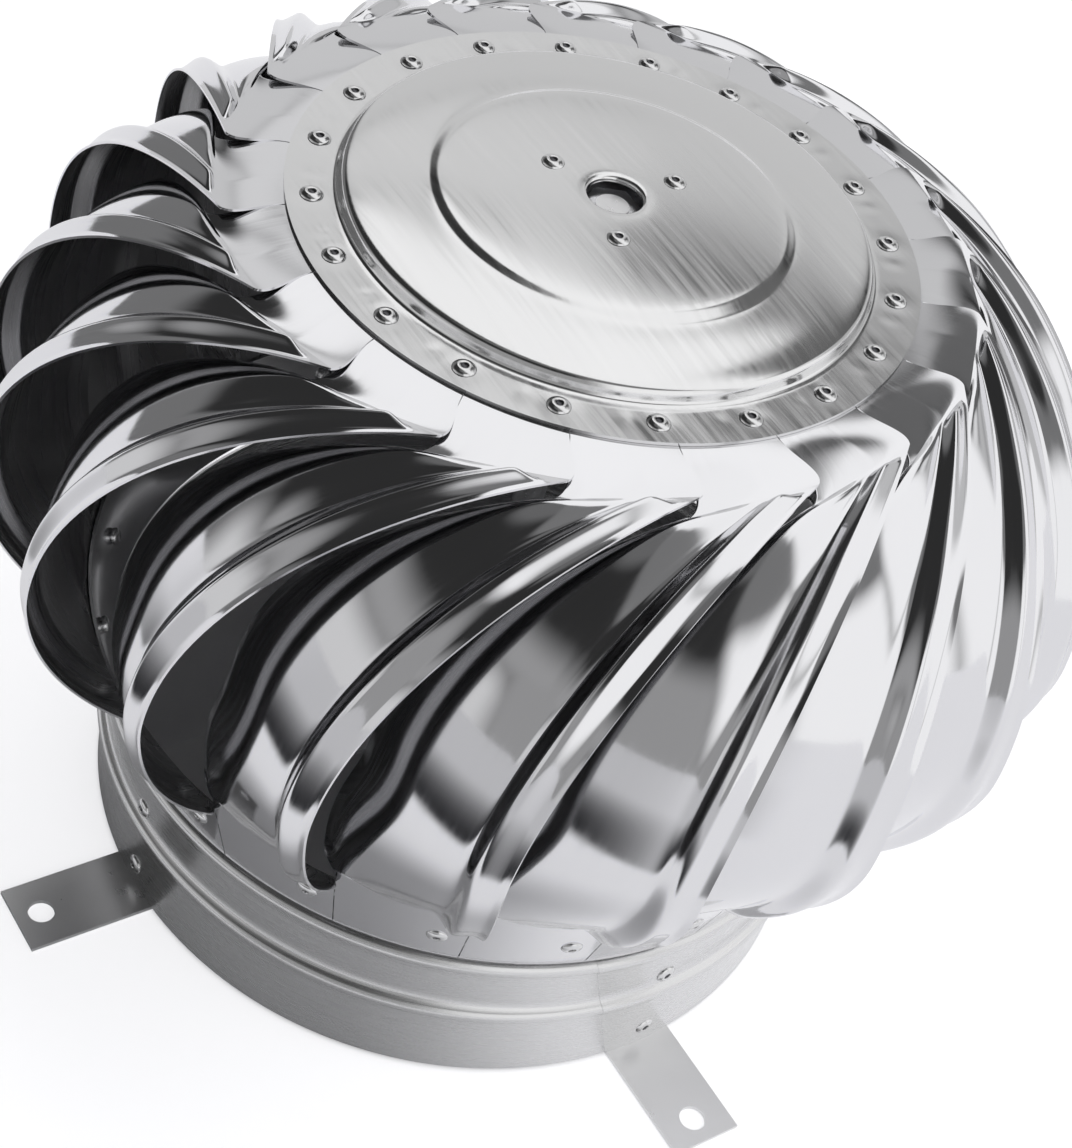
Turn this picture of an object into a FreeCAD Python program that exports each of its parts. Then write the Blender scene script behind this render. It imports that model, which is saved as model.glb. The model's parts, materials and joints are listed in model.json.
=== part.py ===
"""Rotating chimney cowl: a twenty-blade stainless turbine on a 200 mm neck collar with four strap feet."""
import FreeCAD, Part
import Sketcher
import math
import os

Vector = FreeCAD.Vector
Z_AXIS = Vector(0, 0, 1)

# Driving dimensions in millimetres and degrees
SIZES = {
    # neck collar
    "collar_radius": 100.0,
    "collar_wall": 0.8,
    "collar_height": 47.5,
    "bead_radius": 2.5,
    "bead_proud": 2.3,
    "lower_bead_height": 25.0,
    # strap feet
    "strap_width": 20.0,
    "strap_thickness": 1.2,
    "strap_clear": 0.05,
    "strap_bar_height": 38.0,
    "foot_reach": 133.3,
    "foot_hole_circle": 252.6,
    "foot_hole_radius": 3.5,
    "strap_rivet_low": 6.8,
    "strap_rivet_high": 30.5,
    # blind rivets
    "rivet_radius": 1.6,
    "rivet_head_radius": 2.75,
    "rivet_head_height": 1.1,
    "rivet_tail_radius": 2.3,
    "rivet_tail_length": 1.8,
    "rivet_bore": 0.8,
    # top cap
    "cap_radius": 75.1,
    "cap_wall": 0.8,
    "cap_height": 200.0,
    "cap_rise_radius": 63.3,
    "cap_rise": 3.8,
    "cap_rise_run": 0.9,
    "cap_bend": 0.6,
    "cap_step_radius": 42.5,
    "cap_step_base": 206.0,
    "cap_step_run": 1.8,
    "cap_plateau": 207.6,
    "cap_hole_radius": 6.5,
    "cap_hole_flare": 1.0,
    "cap_hole_depth": 1.6,
    "flange_rivet_circle": 69.0,
    "flange_rivet_lag": 31.69,
    "hub_rivet_circle": 16.7,
    "hub_rivet_angle": 88.7,
    # lower ring
    "ring_low_radius": 100.9,
    "ring_low_height": 49.6,
    "ring_high_radius": 108.3,
    "ring_high_height": 73.0,
    "ring_wall": 0.8,
    "ring_rivet_height": 62.0,
    "ring_rivet_lag": -0.6,
    # blades
    "blade_count": 20.0,
    "blade_angle": 286.0,
    "blade_wall": 0.6,
    "blade_gap": 0.3,
    "ball_radius": 136.0,
    "ball_height": 127.0,
    "rib_lean": 37.3,
    "rib_run": 74.6,
    "rib_reach": 82.0,
    "rib_rise": 71.0,
    "rib_bow": 2.0,
    "rib_half_width": 4.6,
    "rib_proud": 2.8,
    "rib_margin": 6.5,
    "hem_radius": 118.7,
    "hem_lag": -12.9,
    "hem_reach": 75.0,
    "hem_top_radius": 89.0,
    "hem_top_lag": 13.8,
    "hem_top_height": 190.0,
    "hem_bulge": 3.0,
    "lip_width": 8.0,
    "lip_turn": 28.0,
    "crease_hem_height": 80.5,
    "crease_rib_height": 74.5,
    "crease_rib_lag": 0.5,
    "tab_margin": 2.7,
    "tab_end_radius": 64.6,
    "tab_lag": 16.5,
    # spindle and bearings
    "spindle_radius": 4.0,
    "spindle_low": 22.0,
    "spindle_high": 205.5,
    "shoulder_radius": 6.0,
    "shoulder_length": 6.0,
    "nut_flats": 13.0,
    "nut_height": 6.5,
    "washer_radius": 8.0,
    "washer_thickness": 1.6,
    "bearing_outer": 11.0,
    "bearing_width": 7.0,
    "bearing_pitch": 7.5,
    "ball_bearing_radius": 1.9845,
    "ball_bearing_count": 7.0,
    "race_play": 0.02,
    "race_inner_land": 6.1,
    "race_outer_land": 8.9,
    "cage_inner": 6.8,
    "cage_outer": 8.2,
    "cage_half_height": 2.7,
    "cage_play": 0.06,
    "lower_bearing_height": 150.0,
    "upper_bearing_height": 190.0,
    "tube_wall": 2.0,
    "tube_shoulder": 1.2,
    "tube_flange_radius": 22.0,
    "tube_flange_thickness": 2.0,
    "tube_skirt": 3.0,
}

doc = FreeCAD.newDocument("chimney_cowl")
sheet = doc.addObject("Spreadsheet::Sheet", "sizes")
for row, (alias, number) in enumerate(SIZES.items(), start=1):
    sheet.set("A%d" % row, alias)
    sheet.set("B%d" % row, str(number))
    sheet.setAlias("B%d" % row, alias)
doc.recompute()


class Size:
    """Every driving dimension, read back from the sheet."""


for alias in SIZES:
    setattr(Size, alias, float(getattr(sheet, alias)))

LIFT = Size.strap_thickness
PITCH = 360.0 / Size.blade_count


def value_of(terms):
    """Number that a sum such as 'collar_radius - collar_wall' stands for."""
    total = 0.0
    sign = 1.0
    for word in terms.split():
        if word == "+":
            sign = 1.0
        elif word == "-":
            sign = -1.0
        elif word in SIZES:
            total += sign * getattr(Size, word)
        else:
            total += sign * float(word)
    return total


def formula_of(terms):
    """The same sum, written for the sheet."""
    return " ".join("sizes." + word if word in SIZES else word for word in terms.split())


def plane_of(body, role):
    """One of the body's own origin planes."""
    return [item for item in body.Origin.OriginFeatures if item.Role == role][0]


def outline_sketch(body, role, corners):
    """Closed outline of straight edges, each corner held by two sizes of the sheet."""
    sketch = body.newObject("Sketcher::SketchObject", body.Name + "_outline")
    sketch.AttachmentSupport = [(plane_of(body, role), "")]
    sketch.MapMode = "FlatFace"
    points = [Vector(value_of(across), value_of(up), 0) for across, up in corners]
    count = len(points)
    for index in range(count):
        sketch.addGeometry(Part.LineSegment(points[index], points[(index + 1) % count]), False)
    for index in range(count):
        following = (index + 1) % count
        sketch.addConstraint(Sketcher.Constraint("Coincident", index, 2, following, 1))
    for index, (across, up) in enumerate(corners):
        for kind, terms in (("DistanceX", across), ("DistanceY", up)):
            held = sketch.addConstraint(Sketcher.Constraint(kind, -1, 1, index, 1, value_of(terms)))
            sketch.setExpression("Constraints[%d]" % held, formula_of(terms))
    return sketch


def turned(name, corners):
    """Body revolved about the vertical axis from an outline of (radius, height) corners."""
    body = doc.addObject("PartDesign::Body", name)
    body.Label = name
    sketch = outline_sketch(body, "XZ_Plane", corners)
    revolution = body.newObject("PartDesign::Revolution", name + "_revolution")
    revolution.Profile = sketch
    revolution.ReferenceAxis = (sketch, ["V_Axis"])
    revolution.Angle = 360
    return body


def primitive(kind, name, sizes, position=None, turn=None):
    """A Part primitive whose sizes are bound to the sheet."""
    item = doc.addObject("Part::" + kind, name)
    for field, terms in sizes.items():
        setattr(item, field, value_of(terms))
        item.setExpression(field, formula_of(terms))
    place = FreeCAD.Placement(position or Vector(), turn or FreeCAD.Rotation())
    item.Placement = place
    return item


def cut(name, base, tool):
    item = doc.addObject("Part::Cut", name)
    item.Base = base
    item.Tool = tool
    return item


def fuse(name, shapes):
    item = doc.addObject("Part::MultiFuse", name)
    item.Shapes = shapes
    return item


def group(name, shapes):
    item = doc.addObject("Part::Compound", name)
    item.Links = shapes
    return item


def feature(name, shape, placement=None):
    item = doc.addObject("Part::Feature", name)
    item.Label = name
    item.Shape = shape
    item.Placement = placement or FreeCAD.Placement()
    return item


def polar(radius, angle, height):
    """Point from a radius, an angle in degrees and a height above the feet."""
    turn = math.radians(angle)
    return Vector(radius * math.cos(turn), radius * math.sin(turn), height)


def spin(angle):
    return FreeCAD.Placement(Vector(), FreeCAD.Rotation(Z_AXIS, angle))


def aimed(point, direction):
    """Placement that carries the origin to a point and the Z axis to a direction."""
    return FreeCAD.Placement(point, FreeCAD.Rotation(Z_AXIS, direction))


def straight_edges(corners):
    """Straight edges from each corner to the next."""
    return [Part.LineSegment(start, stop).toShape() for start, stop in zip(corners, corners[1:])]


# Blind rivets

def rivet_solid(grip):
    """Blind rivet along Z: domed head above z = 0, shank through the grip, set tail below it."""
    head = Size.rivet_head_radius
    rise = Size.rivet_head_height
    crown = (head * head + rise * rise) / (2 * rise)
    lean = math.asin(head / crown) / 2
    middle = Vector(crown * math.sin(lean), 0, rise - crown + crown * math.cos(lean))
    low = -grip - Size.rivet_tail_length
    bore = Size.rivet_bore
    rim_height = rise - crown + math.sqrt(crown * crown - bore * bore)
    rim = Vector(bore, 0, rim_height)
    edge = Vector(head, 0, 0)
    corners = [edge] + [Vector(radius, 0, height) for radius, height in (
        (Size.rivet_radius, 0), (Size.rivet_radius, -grip), (Size.rivet_tail_radius, -grip),
        (Size.rivet_radius, low), (0, low), (0, -grip), (bore, -grip))] + [rim]
    edges = straight_edges(corners)
    edges.append(Part.Arc(rim, middle, edge).toShape())
    face = Part.Face(Part.Wire(edges))
    return face.revolve(Vector(), Z_AXIS, 360)


def rivet_row(name, grip, places):
    """One node with a rivet at each (point, outward direction)."""
    solids = []
    for point, direction in places:
        solid = rivet_solid(grip)
        solid.Placement = aimed(point, direction)
        solids.append(solid)
    return feature(name, Part.Compound(solids))


def hole_tools(grip, places):
    """Drills of the rivet's own radius, long enough to pass the sheets that it joins."""
    tools = []
    for point, direction in places:
        start = point + direction * Size.rivet_head_height
        length = grip + 2 * Size.rivet_head_height
        tools.append(Part.makeCylinder(Size.rivet_radius, length, start, direction * -1))
    return Part.Compound(tools)


# Neck collar with its two rolled beads

BEAD_CENTRE = "collar_radius + bead_proud - bead_radius"
UPPER_BEAD = Size.collar_height + LIFT - Size.bead_radius
LOWER_BEAD = Size.lower_bead_height + LIFT
FOOT_ANGLES = (0, 90, 180, 270)


def strap_rivet_places():
    places = []
    for angle in FOOT_ANGLES:
        for height in (Size.strap_rivet_low, Size.strap_rivet_high):
            places.append((polar(Size.collar_radius, angle, height + LIFT), polar(1, angle, 0)))
    return places


COLLAR_BORE = Size.collar_radius - Size.collar_wall
STRAP_SEAT = math.sqrt(COLLAR_BORE ** 2 - Size.strap_width ** 2 / 4) - Size.strap_clear
STRAP_GRIP = Size.collar_radius - STRAP_SEAT + Size.strap_thickness


def bead_torus(name, height, thinner):
    radius = "bead_radius - collar_wall" if thinner else "bead_radius"
    return primitive("Torus", name, {"Radius1": BEAD_CENTRE, "Radius2": radius}, Vector(0, 0, height))


def make_collar():
    foot = Vector(0, 0, LIFT)
    barrel = primitive(
        "Cylinder", "collar_barrel", {"Radius": "collar_radius", "Height": "collar_height"}, foot)
    bore = primitive(
        "Cylinder", "collar_bore",
        {"Radius": "collar_radius - collar_wall", "Height": "collar_height"}, foot)
    beads = [bead_torus("bead_upper", UPPER_BEAD, False), bead_torus("bead_lower", LOWER_BEAD, False)]
    hollows = [bead_torus("hollow_upper", UPPER_BEAD, True), bead_torus("hollow_lower", LOWER_BEAD, True)]
    solid = fuse("collar_solid", [barrel] + beads)
    inside = fuse("collar_inside", [bore] + hollows)
    shell = cut("collar_shell", solid, inside)
    drills = feature("collar_drills", hole_tools(STRAP_GRIP, strap_rivet_places()))
    collar = cut("neck_collar", shell, drills)
    collar.Label = "neck_collar"
    return collar


# Support straps: two hat-shaped strips whose bent ends are the four feet

def strap_drills(bar_top):
    tools = [hole_tools(STRAP_GRIP, strap_rivet_places())]
    for angle in FOOT_ANGLES:
        tools.append(Part.makeCylinder(
            Size.foot_hole_radius, Size.strap_thickness, polar(Size.foot_hole_circle / 2, angle, 0)))
    tools.append(Part.makeCylinder(
        Size.spindle_radius, Size.strap_thickness, Vector(0, 0, bar_top - Size.strap_thickness)))
    return Part.Compound(tools)


def make_strap(name, role, bar_top):
    """Strip bent down to the collar wall and out again as two feet."""
    reach = Size.foot_reach
    wall = Size.strap_thickness
    outer = STRAP_SEAT
    inner = STRAP_SEAT - wall
    corners = [
        (reach, 0), (reach, wall), (outer, wall), (outer, bar_top),
        (-outer, bar_top), (-outer, wall), (-reach, wall), (-reach, 0),
        (-inner, 0), (-inner, bar_top - wall), (inner, bar_top - wall), (inner, 0),
    ]
    body = doc.addObject("PartDesign::Body", name + "_blank")
    sketch = body.newObject("Sketcher::SketchObject", name + "_outline")
    sketch.AttachmentSupport = [(plane_of(body, role), "")]
    sketch.MapMode = "FlatFace"
    count = len(corners)
    points = [Vector(across, up, 0) for across, up in corners]
    for index in range(count):
        sketch.addGeometry(Part.LineSegment(points[index], points[(index + 1) % count]), False)
    for index in range(count):
        sketch.addConstraint(Sketcher.Constraint("Coincident", index, 2, (index + 1) % count, 1))
    pad = body.newObject("PartDesign::Pad", name + "_pad")
    pad.Profile = sketch
    pad.Midplane = True
    pad.setExpression("Length", "sizes.strap_width")
    drills = feature(name + "_drills", strap_drills(bar_top))
    strap = cut(name, body, drills)
    strap.Label = name
    return strap


# Spindle, nuts and bearings

BAR_TOP = Size.strap_bar_height + 2 * Size.strap_thickness
LOW_BEARING = Size.lower_bearing_height
HIGH_BEARING = Size.upper_bearing_height


def make_spindle():
    return turned("spindle", [
        ("0", "spindle_low"), ("spindle_radius", "spindle_low"),
        ("spindle_radius", "lower_bearing_height - shoulder_length"),
        ("shoulder_radius", "lower_bearing_height - shoulder_length"),
        ("shoulder_radius", "lower_bearing_height"),
        ("spindle_radius", "lower_bearing_height"),
        ("spindle_radius", "spindle_high"), ("0", "spindle_high"),
    ])


def make_nut(name, height):
    prism = primitive("Prism", name + "_blank", {"Height": "nut_height"}, Vector(0, 0, height))
    prism.Polygon = 6
    prism.setExpression("Circumradius", "sizes.nut_flats / sqrt(3)")
    bore = primitive("Cylinder", name + "_bore", {"Radius": "spindle_radius", "Height": "nut_height"},
                     Vector(0, 0, height))
    nut = cut(name, prism, bore)
    nut.Label = name
    return nut


def ring_corners(inner, outer, low, high):
    return [(inner, low), (outer, low), (outer, high), (inner, high)]


def make_washer(name, low):
    """Washer from the height that a sum of sizes gives."""
    return turned(name, ring_corners("spindle_radius", "washer_radius", low, low + " + washer_thickness"))


def race(name, plain, land, height):
    """Bearing ring turned with a plain side and a land that holds the round ball groove."""
    low = height - Size.bearing_width / 2
    high = height + Size.bearing_width / 2
    groove = Size.ball_bearing_radius + Size.race_play
    side = 1 if land > Size.bearing_pitch else -1
    reach = math.sqrt(groove ** 2 - (Size.bearing_pitch - land) ** 2)
    lower = Vector(land, 0, height - reach)
    upper = Vector(land, 0, height + reach)
    deepest = Vector(Size.bearing_pitch + side * groove, 0, height)
    sides = [Vector(land, 0, high), Vector(plain, 0, high), Vector(plain, 0, low), Vector(land, 0, low)]
    edges = straight_edges([upper] + sides + [lower])
    edges.append(Part.Arc(lower, deepest, upper).toShape())
    return feature(name, Part.Face(Part.Wire(edges)).revolve(Vector(), Z_AXIS, 360))


def ball_places(height):
    count = int(Size.ball_bearing_count)
    return [polar(Size.bearing_pitch, 360.0 * index / count, height) for index in range(count)]


def make_balls(name, height):
    balls = []
    for index, place in enumerate(ball_places(height)):
        balls.append(primitive("Sphere", "%s_%d" % (name, index), {"Radius": "ball_bearing_radius"}, place))
    row = group(name, balls)
    row.Label = name
    return row


def make_cage(name, height):
    low = height - Size.cage_half_height
    band = primitive("Cylinder", name + "_band", {
        "Radius": "cage_outer", "Height": "cage_half_height + cage_half_height"}, Vector(0, 0, low))
    core = primitive("Cylinder", name + "_core", {
        "Radius": "cage_inner", "Height": "cage_half_height + cage_half_height"}, Vector(0, 0, low))
    pockets = []
    for index, place in enumerate(ball_places(height)):
        pockets.append(primitive(
            "Sphere", "%s_pocket_%d" % (name, index), {"Radius": "ball_bearing_radius + cage_play"}, place))
    cage = cut(name, band, fuse(name + "_voids", [core] + pockets))
    cage.Label = name
    return cage


def make_bearing(side, low):
    middle = value_of(low) + Size.bearing_width / 2
    race(side + "_bearing_inner_ring", Size.spindle_radius, Size.race_inner_land, middle)
    race(side + "_bearing_outer_ring", Size.bearing_outer, Size.race_outer_land, middle)
    make_balls(side + "_bearing_balls", middle)
    make_cage(side + "_bearing_cage", middle)


# Bearing tube hung from the top cap by three rivets

CAP_UNDERSIDE = "strap_thickness + cap_plateau - cap_wall"


def hub_rivet_places():
    height = value_of("strap_thickness + cap_plateau")
    angles = [Size.hub_rivet_angle + turn for turn in (0, 120, 240)]
    return [(polar(Size.hub_rivet_circle, angle, height), Z_AXIS) for angle in angles]


def make_bearing_tube(grip):
    blank = turned("bearing_tube_blank", [
        ("bearing_outer", "lower_bearing_height - tube_skirt"),
        ("bearing_outer + tube_wall", "lower_bearing_height - tube_skirt"),
        ("bearing_outer + tube_wall", CAP_UNDERSIDE + " - tube_flange_thickness"),
        ("tube_flange_radius", CAP_UNDERSIDE + " - tube_flange_thickness"),
        ("tube_flange_radius", CAP_UNDERSIDE),
        ("bearing_outer", CAP_UNDERSIDE),
        ("bearing_outer", "upper_bearing_height"),
        ("bearing_outer - tube_shoulder", "upper_bearing_height"),
        ("bearing_outer - tube_shoulder", "lower_bearing_height + bearing_width"),
        ("bearing_outer", "lower_bearing_height + bearing_width"),
    ])
    drills = feature("tube_drills", hole_tools(grip, hub_rivet_places()))
    tube = cut("bearing_tube", blank, drills)
    tube.Label = "bearing_tube"
    return tube


# Top cap: riveted flange, short wall, dome, step and plateau round the centre hole

TOP = "strap_thickness + cap_height"
DOME_EDGE = TOP + " + cap_rise"


def cap_section():
    """Upper side of the cap from the flange rim to the hole, as (radius, height)."""
    return [
        ("cap_radius", TOP),
        ("cap_rise_radius + cap_bend", TOP),
        ("cap_rise_radius", TOP + " + cap_bend"),
        ("cap_rise_radius - cap_rise_run + cap_bend", DOME_EDGE + " - cap_bend"),
        ("cap_rise_radius - cap_rise_run - cap_bend", DOME_EDGE),
        ("cap_step_radius", "strap_thickness + cap_step_base"),
        ("cap_step_radius - cap_step_run", "strap_thickness + cap_plateau"),
        ("cap_hole_radius + cap_hole_flare", "strap_thickness + cap_plateau"),
        ("cap_hole_radius", "strap_thickness + cap_plateau - cap_hole_flare"),
        ("cap_hole_radius", "strap_thickness + cap_plateau - cap_hole_depth"),
    ]


def make_cap(drills):
    upper = cap_section()
    lower = []
    for index, (across, up) in enumerate(upper):
        drop = up + " - cap_wall"
        if index in (2, 3):
            lower.append((across + " - cap_wall", up))
        elif index == 4:
            lower.append((across + " - cap_bend", drop))
        elif index == 5:
            lower.append((across, drop))
        elif index == 7:
            lower.append((across + " + cap_bend", drop))
        elif index == 9:
            lower.append((across + " + cap_wall", up))
        elif index != 8:
            lower.append((across, drop))
    blank = turned("top_cap_blank", upper + lower[::-1])
    cap = cut("top_cap", blank, drills)
    cap.Label = "top_cap"
    return cap


# Blades

def smooth(value):
    """Ease from 0 to 1."""
    held = min(1.0, max(0.0, value))
    return held * held * (3 - 2 * held)


def rib_point(along):
    """Base of the stamped rib: -1 at its top end, 0 at the widest place, 1 at the lower crease."""
    lag = math.radians(Size.crease_rib_lag)
    widest = Vector(Size.ball_radius * math.cos(lag), Size.ball_radius * math.sin(lag), Size.ball_height)
    if along < 0:
        lean = math.radians(Size.rib_lean)
        last = math.acos(1 - Size.rib_run / Size.rib_reach)
        turn = -along * last
        run = Size.rib_reach * (1 - math.cos(turn))
        bow = Size.rib_bow * math.sin(math.pi * -along)
        return widest + Vector(
            -run * math.cos(lean), run * math.sin(lean) + bow, Size.rib_rise * math.sin(turn))
    radius = Size.ball_radius + (crease_radius(Size.crease_rib_height) - Size.ball_radius) * along ** 2
    height = Size.ball_height + (Size.crease_rib_height - Size.ball_height) * along
    return Vector(radius * math.cos(lag), radius * math.sin(lag), height)


def ring_slope():
    return (Size.ring_high_radius - Size.ring_low_radius) / (Size.ring_high_height - Size.ring_low_height)


def ring_radius(height):
    """Outer radius of the lower ring's cone at a height above the collar's foot."""
    return Size.ring_low_radius + ring_slope() * (height - Size.ring_low_height)


def crease_radius(height):
    return ring_radius(height) + Size.blade_wall


def hem_point(along):
    """Bend between the panel and its inner lip, at the same stations as the rib."""
    widest = polar(Size.hem_radius, Size.hem_lag, Size.ball_height)
    top = polar(Size.hem_top_radius, Size.hem_top_lag, Size.hem_top_height)
    if along < 0:
        flat = Vector(top.x - widest.x, top.y - widest.y, 0)
        last = math.acos(1 - flat.Length / Size.hem_reach)
        rise = (top.z - widest.z) / math.sin(last)
        turn = -along * last
        return widest + flat.normalize() * (Size.hem_reach * (1 - math.cos(turn))) + Z_AXIS * (
            rise * math.sin(turn))
    low = polar(crease_radius(Size.crease_hem_height), tab_start(), Size.crease_hem_height)
    share = along ** 2
    bulge = Size.hem_bulge * math.sin(math.pi * along)
    side = polar(1, Size.hem_lag - 90, 0)
    flat = widest + (low - widest) * share
    return Vector(flat.x, flat.y, widest.z + (low.z - widest.z) * along) + side * bulge


def tab_start():
    """Lag of the lower tab's leading side."""
    gap = math.degrees(Size.blade_gap / Size.ring_low_radius)
    return tab_stop() - PITCH + gap


def tab_stop():
    return Size.crease_rib_lag + Size.tab_margin


# Stations across a blade: share of the lip, of the panel, and then places on the rib in half-widths
LIP_STATIONS = (1.0, 0.5, 0.12)
PANEL_STATIONS = (0.03, 0.12, 0.35, 0.6, 0.85)
RIB_STATIONS = (-1.25, -1.0, -0.75, -0.4, 0.0, 0.4, 0.75, 1.0)
STRIP_STATIONS = (
    -0.985, -0.96, -0.93, -0.89, -0.82, -0.72, -0.6, -0.48, -0.36, -0.24, -0.12, 0.0,
    0.12, 0.24, 0.36, 0.48, 0.6, 0.72, 0.82, 0.89, 0.93, 0.96)


def rib_height(place):
    """Raised part of the rib across its width."""
    if abs(place) >= 1:
        return 0.0
    return Size.rib_proud * math.cos(place * math.pi / 2) ** 1.3


def strip_row(along):
    """Middle of the sheet across the bent strip at one station."""
    rib = rib_point(along)
    hem = hem_point(along)
    across = hem - rib
    width = across.Length
    across.normalize()
    step = 0.01
    ahead = rib_point(min(1.0, along + step)) - rib_point(max(-1.0, along - step))
    outward = across.cross(ahead).normalize()
    end = smooth((1 - abs(along)) / 0.12)
    closed = smooth((1 - abs(along) - 0.01) / 0.05)
    lip = Size.lip_width * end
    turn = math.radians(Size.lip_turn) * end
    sideways = across * math.cos(turn) - outward * math.sin(turn)
    row = [hem + sideways * (lip * share) for share in LIP_STATIONS]
    panel = width - Size.rib_half_width * 1.25
    row += [hem - across * (panel * share) for share in PANEL_STATIONS]
    for place in RIB_STATIONS:
        height = rib_height(place) * closed
        row.append(rib - across * (Size.rib_half_width * place) + outward * height)
    row.append(rib - across * Size.rib_margin)
    return row


def level_row(first, last, arc):
    """Middle of the sheet across a tab, spaced like the strip's rows."""
    sample = strip_row(0.0)
    marks = [0.0]
    for before, after in zip(sample, sample[1:]):
        marks.append(marks[-1] + (after - before).Length)
    shares = [mark / marks[-1] for mark in marks]
    if not arc:
        return [first + (last - first) * share for share in shares]
    start = math.degrees(math.atan2(first.y, first.x))
    stop = math.degrees(math.atan2(last.y, last.x))
    inner = math.hypot(first.x, first.y)
    outer = math.hypot(last.x, last.y)
    return [polar(inner + (outer - inner) * share, start + (stop - start) * share,
                  first.z + (last.z - first.z) * share) for share in shares]


def flange_row(radius, height):
    gap = math.degrees(Size.blade_gap / Size.cap_radius) / 2
    return level_row(polar(radius, Size.tab_lag + gap, height),
                     polar(radius, Size.tab_lag + PITCH - gap, height), True)


def ring_row(height_hem, height_rib):
    return level_row(polar(crease_radius(height_hem), tab_start(), height_hem),
                     polar(crease_radius(height_rib), tab_stop(), height_rib), True)


def blade_rows():
    under = Size.cap_height - Size.cap_wall - Size.blade_wall / 2 - 0.05
    rows = [flange_row(Size.tab_end_radius, under)]
    for share in (0.4, 0.75, 1.0):
        rows.append(flange_row(Size.tab_end_radius + (Size.cap_radius - Size.tab_end_radius) * share, under))
    start = strip_row(-1.0)
    corner_row = level_row(start[0], start[-1], False)
    edge = flange_row(Size.cap_radius + 1.0, under - 0.05)
    rows.append(edge)
    rows.append([near + (far - near) * 0.5 for near, far in zip(edge, corner_row)])
    rows.append(corner_row)
    rows += [strip_row(along) for along in STRIP_STATIONS]
    crease = ring_row(Size.crease_hem_height, Size.crease_rib_height)
    rows.append(crease)
    rows.append(crease)
    drop = Size.crease_rib_height - Size.ring_low_height
    for share in (0.12, 0.5, 1.0):
        height = Size.crease_rib_height - drop * share
        extra = (Size.crease_hem_height - Size.crease_rib_height) * (1 - share)
        rows.append(ring_row(height + extra, height))
    return rows


def spread_normals(rows):
    """Outward direction at each point of the grid."""
    last_row = len(rows) - 1
    last_column = len(rows[0]) - 1
    normals = []
    for i in range(last_row + 1):
        line = []
        for j in range(last_column + 1):
            low = i
            high = i
            while low > 0 and (rows[low][j] - rows[i][j]).Length < 1e-6:
                low -= 1
            while high < last_row and (rows[high][j] - rows[i][j]).Length < 1e-6:
                high += 1
            ahead = rows[high][j] - rows[low][j]
            across = rows[i][min(j + 1, last_column)] - rows[i][max(j - 1, 0)]
            line.append((ahead.cross(across)).normalize())
        normals.append(line)
    return normals


def clamped_knots(count, degree):
    inner = count - degree
    return list(range(inner + 1)), [degree + 1] + [1] * (inner - 1) + [degree + 1]


DEGREE = 3


def pole_surface(grid):
    knots_u, mults_u = clamped_knots(len(grid), DEGREE)
    knots_v, mults_v = clamped_knots(len(grid[0]), DEGREE)
    surface = Part.BSplineSurface()
    surface.buildFromPolesMultsKnots(grid, mults_u, mults_v, knots_u, knots_v, False, False, DEGREE, DEGREE)
    return surface


def pole_curve(points):
    knots, mults = clamped_knots(len(points), DEGREE)
    curve = Part.BSplineCurve()
    curve.buildFromPolesMultsKnots(points, mults, knots, False, DEGREE)
    return curve.toShape()


def borders(grid):
    """The four border lines of a grid of points."""
    return [grid[0], grid[-1], [line[0] for line in grid], [line[-1] for line in grid]]


def sheet_solid(rows, wall):
    """Closed solid of even thickness about a grid that runs along its middle."""
    normals = spread_normals(rows)
    sides = []
    for half in (wall / 2, -wall / 2):
        sides.append([[point + normal * half for point, normal in zip(line, aims)]
                      for line, aims in zip(rows, normals)])
    faces = [pole_surface(side).toShape() for side in sides]
    for front, back in zip(borders(sides[0]), borders(sides[1])):
        faces.append(Part.makeRuledSurface(pole_curve(front), pole_curve(back)))
    shell = Part.Compound(faces)
    sewn = shell.copy()
    sewn.sewShape(0.005)
    solid = Part.Solid(sewn.Shells[0])
    if solid.Volume < 0:
        solid.reverse()
    return solid


def flange_rivet_places(count):
    height = value_of(TOP)
    first = Size.blade_angle + Size.flange_rivet_lag
    return [(polar(Size.flange_rivet_circle, first + PITCH * index, height), Z_AXIS)
            for index in range(count)]


def ring_rivet_places(count):
    """Rivets square to the lower ring's cone, seated on the blade tabs."""
    tilt = math.atan(ring_slope())
    places = []
    for index in range(count):
        angle = Size.blade_angle + Size.ring_rivet_lag + PITCH * index
        outward = polar(math.cos(tilt), angle, -math.sin(tilt))
        radius = ring_radius(Size.ring_rivet_height) + Size.blade_wall / 2
        seat = polar(radius, angle, Size.ring_rivet_height + LIFT) + outward * Size.blade_wall
        places.append((seat, outward))
    return places


FLANGE_GRIP = Size.cap_wall + 0.05 + Size.blade_wall
RING_GRIP = Size.blade_wall * 1.5 + Size.ring_wall


def make_blades(drills):
    rows = blade_rows()
    blank = sheet_solid(rows, Size.blade_wall)
    blank.translate(Vector(0, 0, LIFT))
    drilled = blank.cut(drills)
    solid = drilled.Solids[0]
    for index in range(int(Size.blade_count)):
        feature("blade_%02d" % (index + 1), solid, spin(Size.blade_angle + PITCH * index))


def make_lower_ring(drills):
    blank = turned("lower_ring_blank", [
        ("ring_low_radius", "strap_thickness + ring_low_height"),
        ("ring_high_radius", "strap_thickness + ring_high_height"),
        ("ring_high_radius - ring_wall", "strap_thickness + ring_high_height"),
        ("ring_low_radius - ring_wall", "strap_thickness + ring_low_height"),
    ])
    ring = cut("lower_ring", blank, drills)
    ring.Label = "lower_ring"
    return ring


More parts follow.
